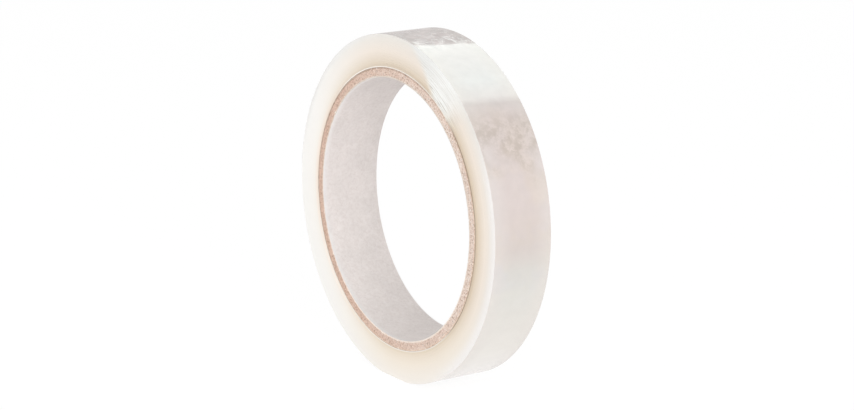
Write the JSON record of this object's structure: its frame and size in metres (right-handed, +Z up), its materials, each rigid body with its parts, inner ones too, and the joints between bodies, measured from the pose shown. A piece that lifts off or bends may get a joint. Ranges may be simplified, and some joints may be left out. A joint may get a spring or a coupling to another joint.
{
  "type": "roll of clear tape",
  "caption": "Roll of clear adhesive tape wound on a spiral-wound paper core, standing on its rim, with a free end that lifts away from the roll.",
  "frame": {"origin": "centre of the core's bore, midway between the roll's two side faces", "axes": "+Y along the roll's axis, away from the pictured side face; +Z up, as the roll stands on its rim; +X to the pictured outer surface"},
  "size_m": [0.101, 0.0188, 0.1005],
  "materials": {
    "liner_paper": "matte",
    "kraft_board": "matte",
    "cover_paper": "matte",
    "wound_tape": "gloss",
    "clear_film": "gloss"
  },
  "bodies": {
    "roll": {"core_liner": "liner_paper", "core_ply_1": "kraft_board", "core_ply_2": "kraft_board", "core_ply_3": "kraft_board", "core_ply_4": "kraft_board", "core_ply_5": "kraft_board", "core_cover": "cover_paper", "tape_winding": "wound_tape"},
    "tail_root": {"tape_tail_root": "clear_film"},
    "tail_middle": {"tape_tail_middle": "clear_film"},
    "tail_tip": {"tape_tail_tip": "clear_film"}
  },
  "joints": [
    {"name": "tail_peel", "type": "hinge", "parent": "roll", "child": "tail_root", "pos_m": [-0.04375, 0, 0.02526], "axis": [0, 1, 0], "range_deg": [0, 60], "stiffness_Nm_per_rad": 0.00004},
    {"name": "tail_middle_bend", "type": "hinge", "parent": "tail_root", "child": "tail_middle", "pos_m": [-0.04719, 0, 0.01804], "axis": [0, 1, 0], "range_deg": [0, 20], "stiffness_Nm_per_rad": 0.00004},
    {"name": "tail_tip_bend", "type": "hinge", "parent": "tail_middle", "child": "tail_tip", "pos_m": [-0.04944, 0, 0.01038], "axis": [0, 1, 0], "range_deg": [0, 20], "stiffness_Nm_per_rad": 0.00004}
  ],
  "couplings": [
    {"joint": "tail_middle_bend", "follows": "tail_peel", "ratio": 0.33333},
    {"joint": "tail_tip_bend", "follows": "tail_peel", "ratio": 0.33333}
  ]
}
